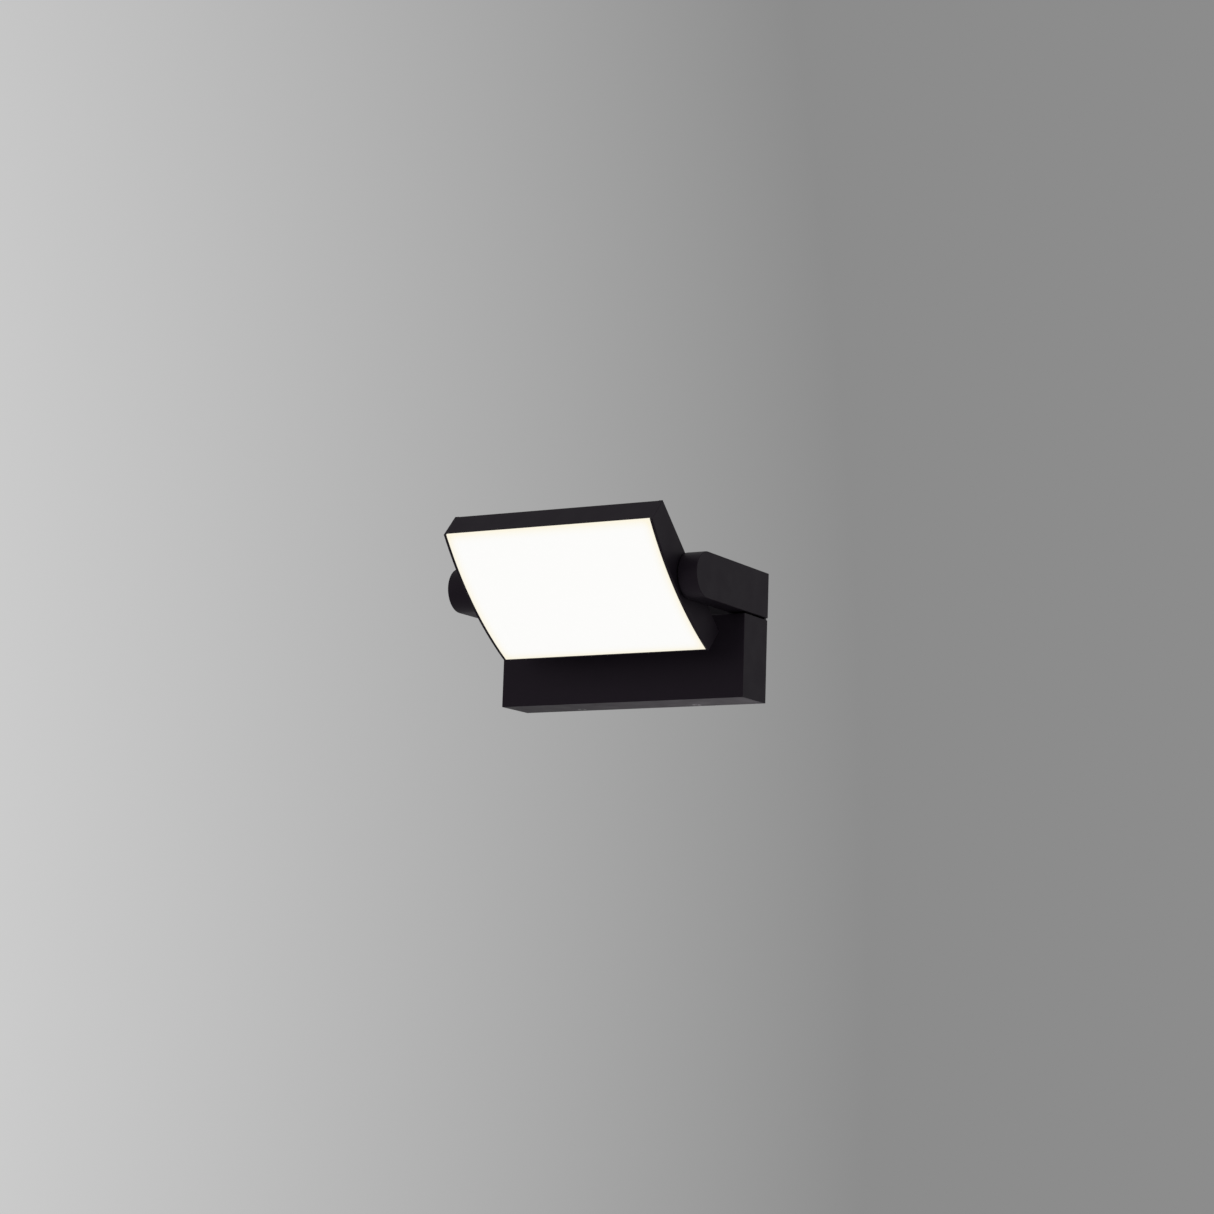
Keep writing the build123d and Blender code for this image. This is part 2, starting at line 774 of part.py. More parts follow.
def reflector_tray():
    """White reflector tray round the LEDs, up to the diffuser."""
    inner = tray_half - tray_wall
    front = diffuser_thickness + tray_clearance
    floor = board_front - tray_wall
    tray = bowed_block(front, -tray_half, tray_half, -tray_below, tray_above, board_front)
    tray -= bowed_block(0, -inner, inner, -tray_below + tray_wall, tray_above - tray_wall, floor)
    cutters = [rod_y(led_opening_radius, floor - 1, board_front + 1, x, z) for x, z in led_places()]
    cutters += [rod_y(M3["radius"] + slip, floor - 1, board_front + 1, x, z) for x, z in board_screw_places]
    low = (connector_far - connector_clearance, floor - 1, -connector_half - connector_clearance)
    high = (connector_near + connector_clearance, board_front + 1, connector_half + connector_clearance)
    cutters.append(block(low, high))
    cutters.append(rod_x(lead_bore_radius, inner - 1, tray_half + 1))
    for cutter in cutters:
        tray -= cutter
    return in_head(tray)


def board_screws():
    """Screws that hold the tray and the board to the housing."""
    one = screw(length=5.4, sunk=False, **board_screw)
    front = board_front - tray_wall - board_screw["head_height"]
    return [in_head(facing((x, front, z), (0, -1, 0)) * one) for x, z in board_screw_places]


def head_lead():
    """Lead from the hollow pivot to the connector."""
    return in_head(rod_x(lead_radius, connector_near, boss_inner))


os.makedirs("parts", exist_ok=True)
save("wall_plate", wall_plate())
save("box_cover", box_cover())
save("cover_screws", *cover_screws())
save("led_driver", led_driver())
save("driver_screws", *driver_screws())
save("terminal_block", terminal_block())
save("terminal_screws", *terminal_screws())
save("earth_screw", earth_screw())
save("entry_grommet", entry_grommet())
save("lead_grommet", lead_grommet())
save("input_leads", *input_leads())
save("output_lead", output_lead())
save("right_arm", right_arm())
save("left_arm", left_arm())
save("right_arm_lid", right_arm_lid())
save("left_arm_lid", left_arm_lid())
save("lid_screws", *lid_screws())
save("arm_screws", *arm_screws())
save("right_pivot_tube", right_pivot_tube())
save("right_pivot_bush", right_pivot_bush())
save("tilt_stop_pin", stop_pin())
save("left_pivot_stud", left_pivot_stud())
save("left_pivot_bush", left_pivot_bush())
save("left_thrust_washer", left_thrust_washer())
save("friction_disc", friction_disc())
save("spring_washer", spring_washer())
save("pivot_nut", pivot_nut())
save("left_pivot_cover", left_pivot_cover())
save("head_housing", in_head(head_housing()))
save("right_end_cap", right_end_cap())
save("left_end_cap", left_end_cap())
save("end_cap_screws", *end_cap_screws())
save("diffuser", diffuser())
save("diffuser_gasket", diffuser_gasket())
save("led_board", led_board())
save("led_chips", *led_chips())
save("led_connector", led_connector())
save("reflector_tray", reflector_tray())
save("board_screws", *board_screws())
save("head_lead", head_lead())
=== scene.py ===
import json
import math

import bmesh
import bpy
from bpy.props import FloatProperty, FloatVectorProperty, IntProperty, PointerProperty
from bpy.types import Operator, Panel, PropertyGroup
from mathutils import Matrix, Vector

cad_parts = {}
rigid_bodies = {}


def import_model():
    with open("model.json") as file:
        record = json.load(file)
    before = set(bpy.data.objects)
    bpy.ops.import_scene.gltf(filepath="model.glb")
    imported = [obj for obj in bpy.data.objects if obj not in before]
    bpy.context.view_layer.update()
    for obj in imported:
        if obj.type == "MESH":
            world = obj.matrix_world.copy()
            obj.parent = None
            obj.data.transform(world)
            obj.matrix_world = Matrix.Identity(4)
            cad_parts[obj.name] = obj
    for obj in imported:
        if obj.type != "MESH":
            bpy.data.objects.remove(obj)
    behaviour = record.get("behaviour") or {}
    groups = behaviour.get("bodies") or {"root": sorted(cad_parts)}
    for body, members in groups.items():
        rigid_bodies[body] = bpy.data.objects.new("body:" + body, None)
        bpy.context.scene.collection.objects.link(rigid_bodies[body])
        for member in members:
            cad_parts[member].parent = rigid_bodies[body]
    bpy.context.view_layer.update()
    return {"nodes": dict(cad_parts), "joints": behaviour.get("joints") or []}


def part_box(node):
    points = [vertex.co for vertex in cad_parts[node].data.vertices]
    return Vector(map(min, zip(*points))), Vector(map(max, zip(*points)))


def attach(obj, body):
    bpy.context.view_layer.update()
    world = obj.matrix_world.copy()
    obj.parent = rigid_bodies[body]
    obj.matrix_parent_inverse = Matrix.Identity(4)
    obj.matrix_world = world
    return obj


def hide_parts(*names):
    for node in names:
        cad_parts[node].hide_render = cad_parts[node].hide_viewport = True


bl_info = {
    "name": "Picture light",
    "version": (1, 0, 0),
    "blender": (4, 5, 0),
    "location": "3D View > Sidebar > Picture light",
    "description": "Finishes and fine pieces of a wall picture light, built around its packed frame",
    "category": "Object",
}

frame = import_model()
nodes = frame["nodes"]
tilt_joint = frame["joints"][0]
pivot = Vector(tilt_joint["pos_m"])
WALL_UNIT = tilt_joint["parent"]
LAMP_HEAD = tilt_joint["child"]

MM = 0.001
FULL_TURN = 2 * math.pi
# Points closer together than this are one point
MERGE_DISTANCE = 0.001 * MM
# Distance from one band to the next in a wave texture of scale one
WAVE_PERIOD = math.pi / 10
# Width of the camera's sensor in millimetres
SENSOR_WIDTH = 36.0


# ---- colours, nodes and finishes ----


def linear(hex_colour):
    """Linear colour of an sRGB hex value."""
    parts = [int(hex_colour[start:start + 2], 16) / 255 for start in (1, 3, 5)]
    return [part / 12.92 if part <= 0.04045 else ((part + 0.055) / 1.055) ** 2.4 for part in parts]


def rgba(colour):
    """A linear colour with full cover."""
    return (*colour[:3], 1.0)


def shade(colour, factor):
    """A linear colour made lighter or darker by a factor."""
    return [min(part * factor, 1.0) for part in colour[:3]]


def add(tree, kind, settings=None, sockets=None):
    """Add a node with its settings, and give its sockets values or links to other nodes' outputs."""
    node = tree.nodes.new(kind)
    for name, value in (settings or {}).items():
        setattr(node, name, value)
    for name, value in (sockets or {}).items():
        if isinstance(value, bpy.types.NodeSocket):
            tree.links.new(value, node.inputs[name])
        else:
            node.inputs[name].default_value = value
    return node


def new_finish(name, **shader_values):
    """Start a material: its tree, its shader and the piece's own coordinates."""
    material = bpy.data.materials.new(name)
    material.use_nodes = True
    tree = material.node_tree
    shader = tree.nodes["Principled BSDF"]
    for socket, value in shader_values.items():
        shader.inputs[socket.replace("_", " ")].default_value = value
    place = add(tree, "ShaderNodeTexCoord").outputs["Object"]
    return material, tree, shader, place


def grain(tree, place, size, detail=2.0, stretch=(1, 1, 1)):
    """Noise whose spots have a real size in metres, drawn out along an axis by a stretch above one."""
    squeeze = [1 / part for part in stretch]
    spread = add(tree, "ShaderNodeMapping", sockets={"Vector": place, "Scale": squeeze})
    sockets = {"Vector": spread.outputs[0], "Scale": 1 / size, "Detail": detail}
    return add(tree, "ShaderNodeTexNoise", sockets=sockets).outputs["Fac"]


def between(tree, factor, low, high, start=0.3, end=0.7):
    """A number that goes from low to high as a factor goes from start to end."""
    sockets = {"Value": factor, "From Min": start, "From Max": end, "To Min": low, "To Max": high}
    return add(tree, "ShaderNodeMapRange", sockets=sockets).outputs["Result"]


def blend_colours(tree, factor, first, second):
    """A colour that goes from the first to the second with a factor."""
    mix = add(tree, "ShaderNodeMix", {"data_type": "RGBA"}, {"Factor": factor})
    mix.inputs[6].default_value = rgba(first)
    mix.inputs[7].default_value = rgba(second)
    return mix.outputs[2]


def paint(tree, shader, factor, first, second):
    """Give a shader a colour that goes from the first to the second with a factor."""
    tree.links.new(blend_colours(tree, factor, first, second), shader.inputs["Base Color"])


def dull(tree, shader, factor, low, high):
    """Give a shader a roughness that goes from low to high with a factor."""
    tree.links.new(between(tree, factor, low, high), shader.inputs["Roughness"])


def relief(tree, shader, height, depth):
    """Bump of a real depth in metres on a shader."""
    bump = add(tree, "ShaderNodeBump", sockets={"Height": height, "Distance": depth})
    tree.links.new(bump.outputs["Normal"], shader.inputs["Normal"])


def powder_coat(name, colour, roughness, peel_size, peel_depth):
    """Matt polyester powder baked on aluminium: a dull black with a fine orange peel.

    Its matting filler lets little light glance off, and gives what does a faint violet tint.
    """
    glance = 0.25
    violet = (1.0, 0.8, 1.0)
    material, tree, shader, place = new_finish(
        name, IOR=1.5, Specular_IOR_Level=glance, Specular_Tint=rgba(violet))
    cloud = grain(tree, place, size=18 * MM)
    speck = grain(tree, place, size=0.9 * MM, detail=1.0)
    tone = add(tree, "ShaderNodeMath", {"operation": "MULTIPLY"}, {0: cloud, 1: speck}).outputs[0]
    paint(tree, shader, tone, colour, shade(colour, 1.5))
    spread = 0.04
    dull(tree, shader, cloud, low=roughness - spread, high=roughness + spread)
    relief(tree, shader, grain(tree, place, peel_size), peel_depth)
    return material


def dipped_steel(name, colour):
    """Sheet steel with a thin black dip coat: satin, and the marks of the rolling show through it.

    The rolling marks are drawn coarser than real ones, so that they show.
    """
    material, tree, shader, place = new_finish(name, IOR=1.5)
    rolled = grain(tree, place, size=0.9 * MM, stretch=(30, 1, 1))
    patch = grain(tree, place, size=12 * MM, detail=3.0)
    paint(tree, shader, patch, colour, shade(colour, 1.7))
    dull(tree, shader, rolled, low=0.38, high=0.5)
    relief(tree, shader, rolled, depth=0.006 * MM)
    return material


def plated_screw(name, dark, light):
    """Plated screw steel: small drawing marks and a finish that varies with them.

    The marks are drawn coarser than real ones, so that they show.
    """
    material, tree, shader, place = new_finish(name, Metallic=1.0)
    marks = grain(tree, place, size=0.35 * MM, detail=3.0)
    paint(tree, shader, marks, dark, light)
    dull(tree, shader, marks, low=0.26, high=0.42)
    relief(tree, shader, marks, depth=0.004 * MM)
    return material


def turned_metal(name, dark, light):
    """Metal turned on a lathe: fine rings across the X axis, 0.24 mm wide, that catch the light."""
    material, tree, shader, place = new_finish(name, Metallic=1.0)
    rings = grain(tree, place, size=12 * MM, stretch=(0.02, 1, 1))
    paint(tree, shader, rings, dark, light)
    dull(tree, shader, rings, low=0.18, high=0.34)
    relief(tree, shader, rings, depth=0.003 * MM)
    return material


def moulded_plastic(name, colour, roughness=0.45):
    """Injection-moulded plastic from a spark-eroded mould: an even colour with a fine pitted grain.

    The pits are drawn coarser than real ones, so that they show.
    """
    material, tree, shader, place = new_finish(name, IOR=1.49)
    pits = grain(tree, place, size=0.5 * MM, detail=3.0)
    flow = grain(tree, place, size=14 * MM)
    paint(tree, shader, flow, shade(colour, 0.9), colour)
    spread = 0.06
    dull(tree, shader, pits, low=roughness - spread, high=roughness + spread)
    relief(tree, shader, pits, depth=0.012 * MM)
    return material


def rubber(name, colour):
    """Moulded rubber: dull, with a faint bloom of paler patches."""
    material, tree, shader, place = new_finish(name, IOR=1.5, Specular_IOR_Level=0.35)
    bloom = grain(tree, place, size=3 * MM, detail=4.0)
    paint(tree, shader, bloom, colour, shade(colour, 2.05))
    dull(tree, shader, bloom, low=0.68, high=0.84)
    relief(tree, shader, bloom, depth=0.02 * MM)
    return material


def silicone(name, colour):
    """Cast silicone: soft, slightly clear, with a silky surface."""
    material, tree, shader, place = new_finish(
        name, IOR=1.41, Subsurface_Weight=0.25, Subsurface_Scale=1.5 * MM)
    haze = grain(tree, place, size=2 * MM, detail=3.0)
    paint(tree, shader, haze, shade(colour, 0.85), colour)
    dull(tree, shader, haze, low=0.38, high=0.52)
    relief(tree, shader, haze, depth=0.008 * MM)
    return material


def pressed_fibre(name, colour):
    """Pressed friction lining: short fibres in a brown binder, rough and dry."""
    material, tree, shader, place = new_finish(name, IOR=1.5)
    fibres = grain(tree, place, size=0.4 * MM, detail=4.0, stretch=(1, 5, 1))
    paint(tree, shader, fibres, colour, shade(colour, 2.4))
    dull(tree, shader, fibres, low=0.7, high=0.9)
    relief(tree, shader, fibres, depth=0.03 * MM)
    return material


def solder_mask(name, colour, copper_pitch):
    """White solder mask over copper: the tracks under it show as faint raised bands."""
    material, tree, shader, place = new_finish(name, IOR=1.5)
    sockets = {"Vector": place, "Scale": WAVE_PERIOD / copper_pitch, "Distortion": 0.0}
    settings = {"wave_type": "BANDS", "bands_direction": "X"}
    bands = add(tree, "ShaderNodeTexWave", settings, sockets).outputs["Fac"]
    dust = grain(tree, place, size=1.5 * MM)
    paint(tree, shader, dust, shade(colour, 0.88), colour)
    dull(tree, shader, dust, low=0.3, high=0.42)
    steps = between(tree, bands, low=0.0, high=1.0, start=0.45, end=0.55)
    relief(tree, shader, steps, depth=0.03 * MM)
    return material


def phosphor(name, colour):
    """Silicone with phosphor powder over a chip: a deep yellow that scatters light.

    The powder is drawn coarser than the real one, so that it shows.
    """
    material, tree, shader, place = new_finish(
        name, IOR=1.5, Subsurface_Weight=0.4, Subsurface_Scale=0.5 * MM)
    powder = grain(tree, place, size=0.2 * MM)
    paint(tree, shader, powder, colour, shade(colour, 1.3))
    dull(tree, shader, powder, low=0.3, high=0.5)
    return material


def lit_opal(name, glow, middle, half_size, head_place):
    """Opal acrylic lit from behind: an even white that turns creamy where fewer lights reach the edge."""
    material, tree, shader, place = new_finish(name, IOR=1.49, Emission_Strength=glow.strength)
    sockets = {"Vector": place, "Location": head_place @ middle, "Rotation": head_place.to_euler()}
    upright = add(tree, "ShaderNodeMapping", {"vector_type": "TEXTURE"}, sockets)
    spot = add(tree, "ShaderNodeSeparateXYZ", sockets={0: upright.outputs[0]})
    steepness = 2.5
    warmth = []
    for axis, half in (("X", half_size.x), ("Z", half_size.z)):
        away = add(tree, "ShaderNodeMath", {"operation": "ABSOLUTE"}, {0: spot.outputs[axis]}).outputs[0]
        near = between(tree, away, low=0.0, high=1.0, start=half - glow.edge_width, end=half)
        warm = add(tree, "ShaderNodeMath", {"operation": "POWER"}, {0: near, 1: steepness})
        warmth.append(warm.outputs[0])
    clamped_sum = {"operation": "ADD", "use_clamp": True}
    both = add(tree, "ShaderNodeMath", clamped_sum, {0: warmth[0], 1: warmth[1]})
    light = blend_colours(tree, both.outputs[0], glow.middle_colour, glow.edge_colour)
    tree.links.new(light, shader.inputs["Emission Color"])
    haze = grain(tree, place, size=6 * MM)
    milk = linear("#c9c8c4")
    paint(tree, shader, haze, shade(milk, 0.96), milk)
    dull(tree, shader, haze, low=0.36, high=0.44)
    return material


# ---- meshes and pieces ----


def lathe(bm, profile, steps):
    """Spin a profile of radius and height points a full turn about Z."""
    points = [bm.verts.new((radius, 0, height)) for radius, height in profile]
    lines = [bm.edges.new(pair) for pair in zip(points, points[1:])]
    bmesh.ops.spin(bm, geom=points + lines, cent=(0, 0, 0), axis=(0, 0, 1), angle=FULL_TURN, steps=steps,
                   use_merge=True)
    bmesh.ops.remove_doubles(bm, verts=bm.verts, dist=MERGE_DISTANCE)


def round_corners(bm, degrees, radius):
    """Round the edges where the surface turns by more than an angle."""
    corners = [edge for edge in bm.edges if edge.calc_face_angle(0) > math.radians(degrees)]
    bmesh.ops.bevel(bm, geom=corners, offset=radius, offset_type="OFFSET", segments=3, profile=0.5,
                    affect="EDGES", material=-1)


def make_piece(name, bm, body, replaced, finishes, smooth_angle=35):
    """Turn a mesh into a finished piece that rides on a body and stands for a CAD node."""
    mesh = bpy.data.meshes.new(name)
    bm.to_mesh(mesh)
    bm.free()
    for finish in finishes:
        mesh.materials.append(finish)
    mesh.shade_smooth()
    mesh.set_sharp_from_angle(angle=math.radians(smooth_angle))
    piece = bpy.data.objects.new(name, mesh)
    bpy.context.scene.collection.objects.link(piece)
    even = piece.modifiers.new("Even shading", "WEIGHTED_NORMAL")
    even.keep_sharp = True
    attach(piece, body)
    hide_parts(replaced)
    return piece


def dress(finish, *names):
    """Give some CAD nodes a finish."""
    for name in names:
        for slot in nodes[name].material_slots:
            slot.material = finish


def head_place(settings):
    """Where the upright head stands at rest: moved to the pivot and leaned over."""
    return Matrix.Translation(pivot) @ Matrix.Rotation(settings.lean, 4, "X")


def box_in(place, node):
    """Lowest and highest corner of a CAD node, measured in another frame."""
    back = place.inverted()
    points = [back @ vertex.co for vertex in nodes[node].data.vertices]
    low = Vector([min(point[axis] for point in points) for axis in range(3)])
    high = Vector([max(point[axis] for point in points) for axis in range(3)])
    return low, high


# ---- screws ----


def socket_screw(bm, place, size):
    """Countersunk screw with a hexagon socket: its head's top at the place's origin, its shank along -Z."""
    one = bmesh.new()
    lathe(one, screw_profile(size), size.sides)
    rim = [line for line in one.edges if line.is_boundary]
    edge = size.edge_width * size.diameter
    hexagon = bmesh.ops.create_circle(
        one, cap_ends=True, segments=6, radius=size.socket_width * size.diameter / 2,
        matrix=Matrix.Translation((0, 0, -edge)))
    floor = hexagon["verts"][0].link_faces[0]
    lip = floor.edges[:]
    sunk = bmesh.ops.extrude_face_region(one, geom=[floor])
    bmesh.ops.delete(one, geom=[floor], context="FACES_ONLY")
    bottom = [item for item in sunk["geom"] if isinstance(item, bmesh.types.BMVert)]
    bmesh.ops.translate(one, verts=bottom, vec=(0, 0, edge - size.socket_depth * size.diameter))
    bmesh.ops.bridge_loops(one, edges=rim + lip)
    bmesh.ops.recalc_face_normals(one, faces=one.faces)
    bmesh.ops.transform(one, matrix=place, verts=one.verts)
    append(bm, one)


def screw_profile(size):
    """Outline of a countersunk screw from the mouth of its socket to its tip, as radius and height."""
    edge = size.edge_width * size.diameter
    head = size.head_width * size.diameter / 2
    shank = size.diameter / 2
    pitch = size.pitch * size.diameter
    core = shank - pitch / 2
    depth = -size.head_height * size.diameter
    mouth = size.socket_width * size.diameter / 2 + edge
    profile = [(mouth, 0), (head - edge, 0), (head, -edge), (shank, depth)]
    while depth - pitch > -size.length:
        profile.append((core, depth - pitch / 2))
        profile.append((shank, depth - pitch))
        depth -= pitch
    return profile + [(core, -size.length), (0, -size.length)]


def append(bm, one):
    """Add a finished mesh to a larger one, and let go of it."""
    part = bpy.data.meshes.new("part")
    one.to_mesh(part)
    one.free()
    bm.from_mesh(part)
    bpy.data.meshes.remove(part)


def facing(place, direction):
    """A frame at a place, with its Z axis along a direction."""
    return Matrix.Translation(place) @ Vector(direction).to_track_quat("Z", "Y").to_matrix().to_4x4()


def corner_places(low, high, inset):
    """The places of like screws in the four corners of their shared box, on its +Y side."""
    across = (low.x + inset, high.x - inset)
    up = (low.z + inset, high.z - inset)
    return [Vector((x, high.y, z)) for x in across for z in up]


def screws(name, node, body, finish, size, places):
    """A group of like screws, each at its own place."""
    bm = bmesh.new()
    for place in places:
        socket_screw(bm, place, size)
    return make_piece(name, bm, body, node, [finish], smooth_angle=40)


# ---- settings ----


class CoatSettings(PropertyGroup):
    """The black finish of the box, the arms and the head."""

    colour: FloatVectorProperty(
        name="Coat colour", description="Colour of the powder coat", subtype="COLOR", min=0, max=1,
        default=linear("#19151c"))
    roughness: FloatProperty(
        name="Roughness", description="How dull the coat is",
        default=0.5, min=0, max=1, subtype="FACTOR")
    peel_size: FloatProperty(
        name="Peel size", description="Width of one bump of the orange peel",
        default=0.7 * MM, unit="LENGTH")
    peel_depth: FloatProperty(
        name="Peel depth", description="Height of the orange peel", default=0.012 * MM, unit="LENGTH")


class ScrewSettings(PropertyGroup):
    """Sizes of a countersunk socket screw, as shares of its thread's diameter where no unit is given."""

    diameter: FloatProperty(
        name="Diameter", description="Outer diameter of the thread", default=4 * MM, unit="LENGTH")
    length: FloatProperty(
        name="Length", description="Whole length of the screw", default=7 * MM, unit="LENGTH")
    head_width: FloatProperty(
        name="Head width", description="Width of the head", default=1.9, min=1.2)
    head_height: FloatProperty(
        name="Head height", description="Height of the cone", default=0.55, min=0.1)
    pitch: FloatProperty(
        name="Pitch", description="Distance between two threads", default=0.175, min=0.05)
    socket_width: FloatProperty(
        name="Socket width", description="Width of the hexagon over its corners", default=0.75, min=0.2)
    socket_depth: FloatProperty(
        name="Socket depth", description="Depth of the hexagon", default=0.35, min=0.1)
    edge_width: FloatProperty(
        name="Edge width", description="Width of the softened edges", default=0.05, min=0.01)
    sides: IntProperty(
        name="Sides", description="Steps round the screw", default=36, min=12)


class HeadSettings(PropertyGroup):
    """The lamp head's stance and its bowed face."""

    lean: FloatProperty(
        name="Lean", description="How far the lit face looks down at rest", default=math.radians(48),
        subtype="ANGLE")
    bow_radius: FloatProperty(
        name="Bow radius", description="Radius of the bowed face", default=290.7 * MM, unit="LENGTH")
    bow_steps: IntProperty(name="Bow steps", description="Strips in the bowed face", default=40, min=4)
    diffuser_thickness: FloatProperty(
        name="Diffuser thickness", description="Thickness of the opal sheet",
        default=1.5 * MM, unit="LENGTH")
    diffuser_edge: FloatProperty(
        name="Diffuser edge", description="Radius of the sheet's edges", default=0.2 * MM, unit="LENGTH")


class GrommetSettings(PropertyGroup):
    """Sizes of the two rubber grommets that their nodes' boxes do not give."""

    cable_radius: FloatProperty(
        name="Cable radius", description="Bore for the supply cable", default=4 * MM, unit="LENGTH")
    entry_radius: FloatProperty(
        name="Entry radius", description="Radius of the hole in the wall plate",
        default=8 * MM, unit="LENGTH")
    entry_lip: FloatProperty(
        name="Entry lip", description="Thickness of the lip on the wall plate",
        default=1.5 * MM, unit="LENGTH")
    lead_radius: FloatProperty(
        name="Lead radius", description="Bore for the lead", default=1.8 * MM, unit="LENGTH")
    sleeve_radius: FloatProperty(
        name="Sleeve radius", description="Radius of the holes for the sleeve",
        default=3 * MM, unit="LENGTH")
    box_wall: FloatProperty(
        name="Box wall", description="Thickness of the box cover", default=2 * MM, unit="LENGTH")
    edge_radius: FloatProperty(
        name="Edge radius", description="Radius of the moulded edges", default=0.3 * MM, unit="LENGTH")
    sides: IntProperty(
        name="Sides", description="Steps round a grommet", default=48, min=12)


class GlowSettings(PropertyGroup):
    """The light that comes through the diffuser."""

    middle_colour: FloatVectorProperty(
        name="Middle", description="Light in the middle of the diffuser", subtype="COLOR", min=0, max=1,
        default=linear("#fbfbfa"))
    edge_colour: FloatVectorProperty(
        name="Edge", description="Light at the diffuser's edge", subtype="COLOR", min=0, max=1,
        default=linear("#fbf4dc"))
    edge_width: FloatProperty(
        name="Edge width", description="How far the warm edge reaches in",
        default=11 * MM, unit="LENGTH")
    strength: FloatProperty(name="Strength", description="Brightness of the light", default=0.8, min=0)


class LedSettings(PropertyGroup):
    """The rows of LED packages."""

    columns: IntProperty(name="Columns", description="Packages in a row", default=10, min=1)
    rows: IntProperty(name="Rows", description="Rows of packages", default=7, min=1)
    package_width: FloatProperty(
        name="Width", description="Width of a package", default=2.8 * MM, unit="LENGTH")
    package_height: FloatProperty(
        name="Height", description="Height of a package", default=3.5 * MM, unit="LENGTH")
    wall: FloatProperty(
        name="Wall", description="Rim round the phosphor", default=0.35 * MM, unit="LENGTH")
    phosphor_colour: FloatVectorProperty(
        name="Phosphor", description="Colour of the phosphor", subtype="COLOR", min=0, max=1,
        default=linear("#e6c63a"))


class StageSettings(PropertyGroup):
    """Camera, floor and light."""

    azimuth: FloatProperty(
        name="Azimuth", description="How far the camera stands to the right of the light",
        default=math.radians(30.24), subtype="ANGLE")
    elevation: FloatProperty(
        name="Elevation", description="How far the camera stands above the light",
        default=math.radians(-9.28), subtype="ANGLE")
    roll: FloatProperty(
        name="Roll", description="Turn of the camera about its own line of sight",
        default=math.radians(1.87), subtype="ANGLE")
    distance: FloatProperty(
        name="Distance", description="From the camera to the point that it looks at",
        default=2.2743, unit="LENGTH")
    aim: FloatVectorProperty(
        name="Aim", description="The point in the middle of the view", default=(0, -0.0636, 0.0398),
        subtype="TRANSLATION", unit="LENGTH")
    lens: FloatProperty(name="Lens", description="Focal length", default=85.06, unit="CAMERA")
    floor_drop: FloatProperty(
        name="Floor drop", description="From the light down to the floor", default=1.1, unit="LENGTH")
    floor_radius: FloatProperty(
        name="Floor radius", description="Size of the floor", default=9.0, unit="LENGTH")
    floor_colour: FloatVectorProperty(
        name="Floor", description="Colour of the floor",
        subtype="COLOR", min=0, max=1, default=linear("#f2f2f2"))
    backdrop_left: FloatVectorProperty(
        name="Backdrop left", description="Colour behind the light on its left",
        subtype="COLOR", min=0, max=1,
        default=linear("#cecece"))
    backdrop_right: FloatVectorProperty(
        name="Backdrop right", description="Colour behind the light on its right",
        subtype="COLOR", min=0, max=1,
        default=linear("#8c8c8c"))
    softbox_colour: FloatVectorProperty(
        name="Softbox colour", description="Colour of the softboxes' light",
        subtype="COLOR", min=0, max=1,
        default=linear("#fff2ff"))
    room_light: FloatProperty(
        name="Room light", description="Brightness of the room round the light", default=0.36, min=0)


class PictureLightSettings(PropertyGroup):
    """All settings of the picture light."""

    coat: PointerProperty(type=CoatSettings)
    cover_screw: PointerProperty(type=ScrewSettings)
    cap_screw: PointerProperty(type=ScrewSettings)
    arm_screw: PointerProperty(type=ScrewSettings)
    head: PointerProperty(type=HeadSettings)
    grommets: PointerProperty(type=GrommetSettings)
    glow: PointerProperty(type=GlowSettings)
    leds: PointerProperty(type=LedSettings)
    stage: PointerProperty(type=StageSettings)


def coat_finish(settings):
    """The one black finish that the box, the arms and the head share."""
    name = "matt_black_powder_coat"
    coat = settings.coat
    return bpy.data.materials.get(name) or powder_coat(
        name, coat.colour, coat.roughness, coat.peel_size, coat.peel_depth)


def zinc_finish():
    """Bright zinc plating, on the fasteners inside the light."""
    name = "zinc_plated_screw"
    return bpy.data.materials.get(name) or plated_screw(name, linear("#8d9296"), linear("#c3c7ca"))


def blackened_finish():
    """Black oxide on steel, on the countersunk screws of the black parts."""
    name = "blackened_screw"
    return bpy.data.materials.get(name) or plated_screw(name, linear("#2b2a2c"), linear("#5a585a"))


# ---- operators ----


class PICTURELIGHT_OT_wall_plate(Operator):
    """Coat the wall plate and fit the screws that hold the arms on it"""

    bl_idname = "picture_light.wall_plate"
    bl_label = "Wall plate"

    def execute(self, context):
        settings = context.scene.picture_light
        dress(dipped_steel("black_dipped_steel", settings.coat.colour), "wall_plate")
        size = settings.arm_screw
        low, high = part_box("arm_screws")
        inset = size.head_width * size.diameter / 2
        places = [facing(place, (0, 1, 0)) for place in corner_places(low, high, inset)]
        screws("arm_screw_set", "arm_screws", WALL_UNIT, zinc_finish(), size, places)
        return {"FINISHED"}


class PICTURELIGHT_OT_box_cover(Operator):
    """Coat the box cover and fit its two screws from below"""

    bl_idname = "picture_light.box_cover"
    bl_label = "Box cover"

    def execute(self, context):
        settings = context.scene.picture_light
        dress(coat_finish(settings), "box_cover")
        size = settings.cover_screw
        low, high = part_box("cover_screws")
        middle = (low.y + high.y) / 2
        inset = size.head_width * size.diameter / 2
        places = [facing((x, middle, low.z), (0, 0, -1)) for x in (low.x + inset, high.x - inset)]
        finish = blackened_finish()
        screws("cover_screw_pair", "cover_screws", WALL_UNIT, finish, size, places)
        return {"FINISHED"}


